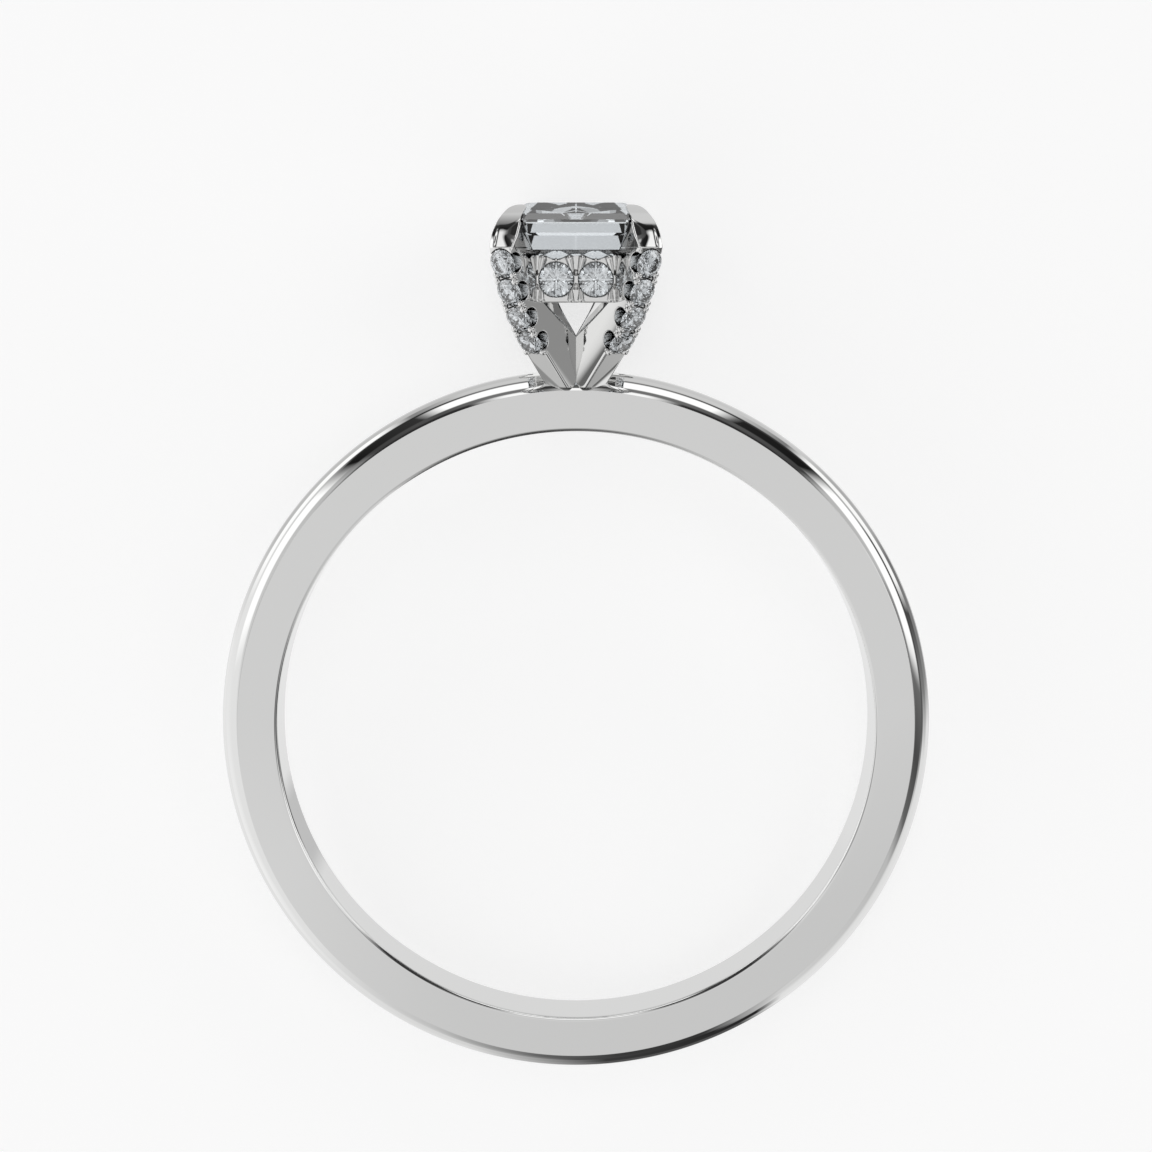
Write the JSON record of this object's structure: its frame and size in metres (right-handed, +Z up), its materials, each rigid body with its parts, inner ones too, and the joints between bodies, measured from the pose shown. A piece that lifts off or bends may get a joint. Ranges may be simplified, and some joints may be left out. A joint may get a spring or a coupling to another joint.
{
  "type": "solitaire ring",
  "caption": "Solitaire ring lying on its side: a plain domed band whose prongs, set with small stones, hold an emerald-cut stone above a hidden halo.",
  "frame": {"origin": "middle of the base of the bounding box, on the surface that the ring lies on", "axes": "+Y from the band's far edge to the head and its centre stone, +Z up from the surface, +X across both, to the right as seen in the picture"},
  "size_m": [0.0198, 0.0243, 0.0062],
  "materials": {
    "white_gold": "polished white gold",
    "diamond": "clear, cut and polished facets"
  },
  "bodies": {
    "root": {"band_and_setting": "white_gold", "centre_stone": "diamond", "halo_stone_front_1": "diamond", "halo_stone_front_2": "diamond", "halo_stone_back_1": "diamond", "halo_stone_back_2": "diamond", "halo_stone_left_1": "diamond", "halo_stone_left_2": "diamond", "halo_stone_left_3": "diamond", "halo_stone_right_1": "diamond", "halo_stone_right_2": "diamond", "halo_stone_right_3": "diamond", "prong_1_stone_1": "diamond", "prong_1_stone_2": "diamond", "prong_1_stone_3": "diamond", "prong_1_stone_4": "diamond", "prong_2_stone_1": "diamond", "prong_2_stone_2": "diamond", "prong_2_stone_3": "diamond", "prong_2_stone_4": "diamond", "prong_3_stone_1": "diamond", "prong_3_stone_2": "diamond", "prong_3_stone_3": "diamond", "prong_3_stone_4": "diamond", "prong_4_stone_1": "diamond", "prong_4_stone_2": "diamond", "prong_4_stone_3": "diamond", "prong_4_stone_4": "diamond"}
  },
  "joints": []
}
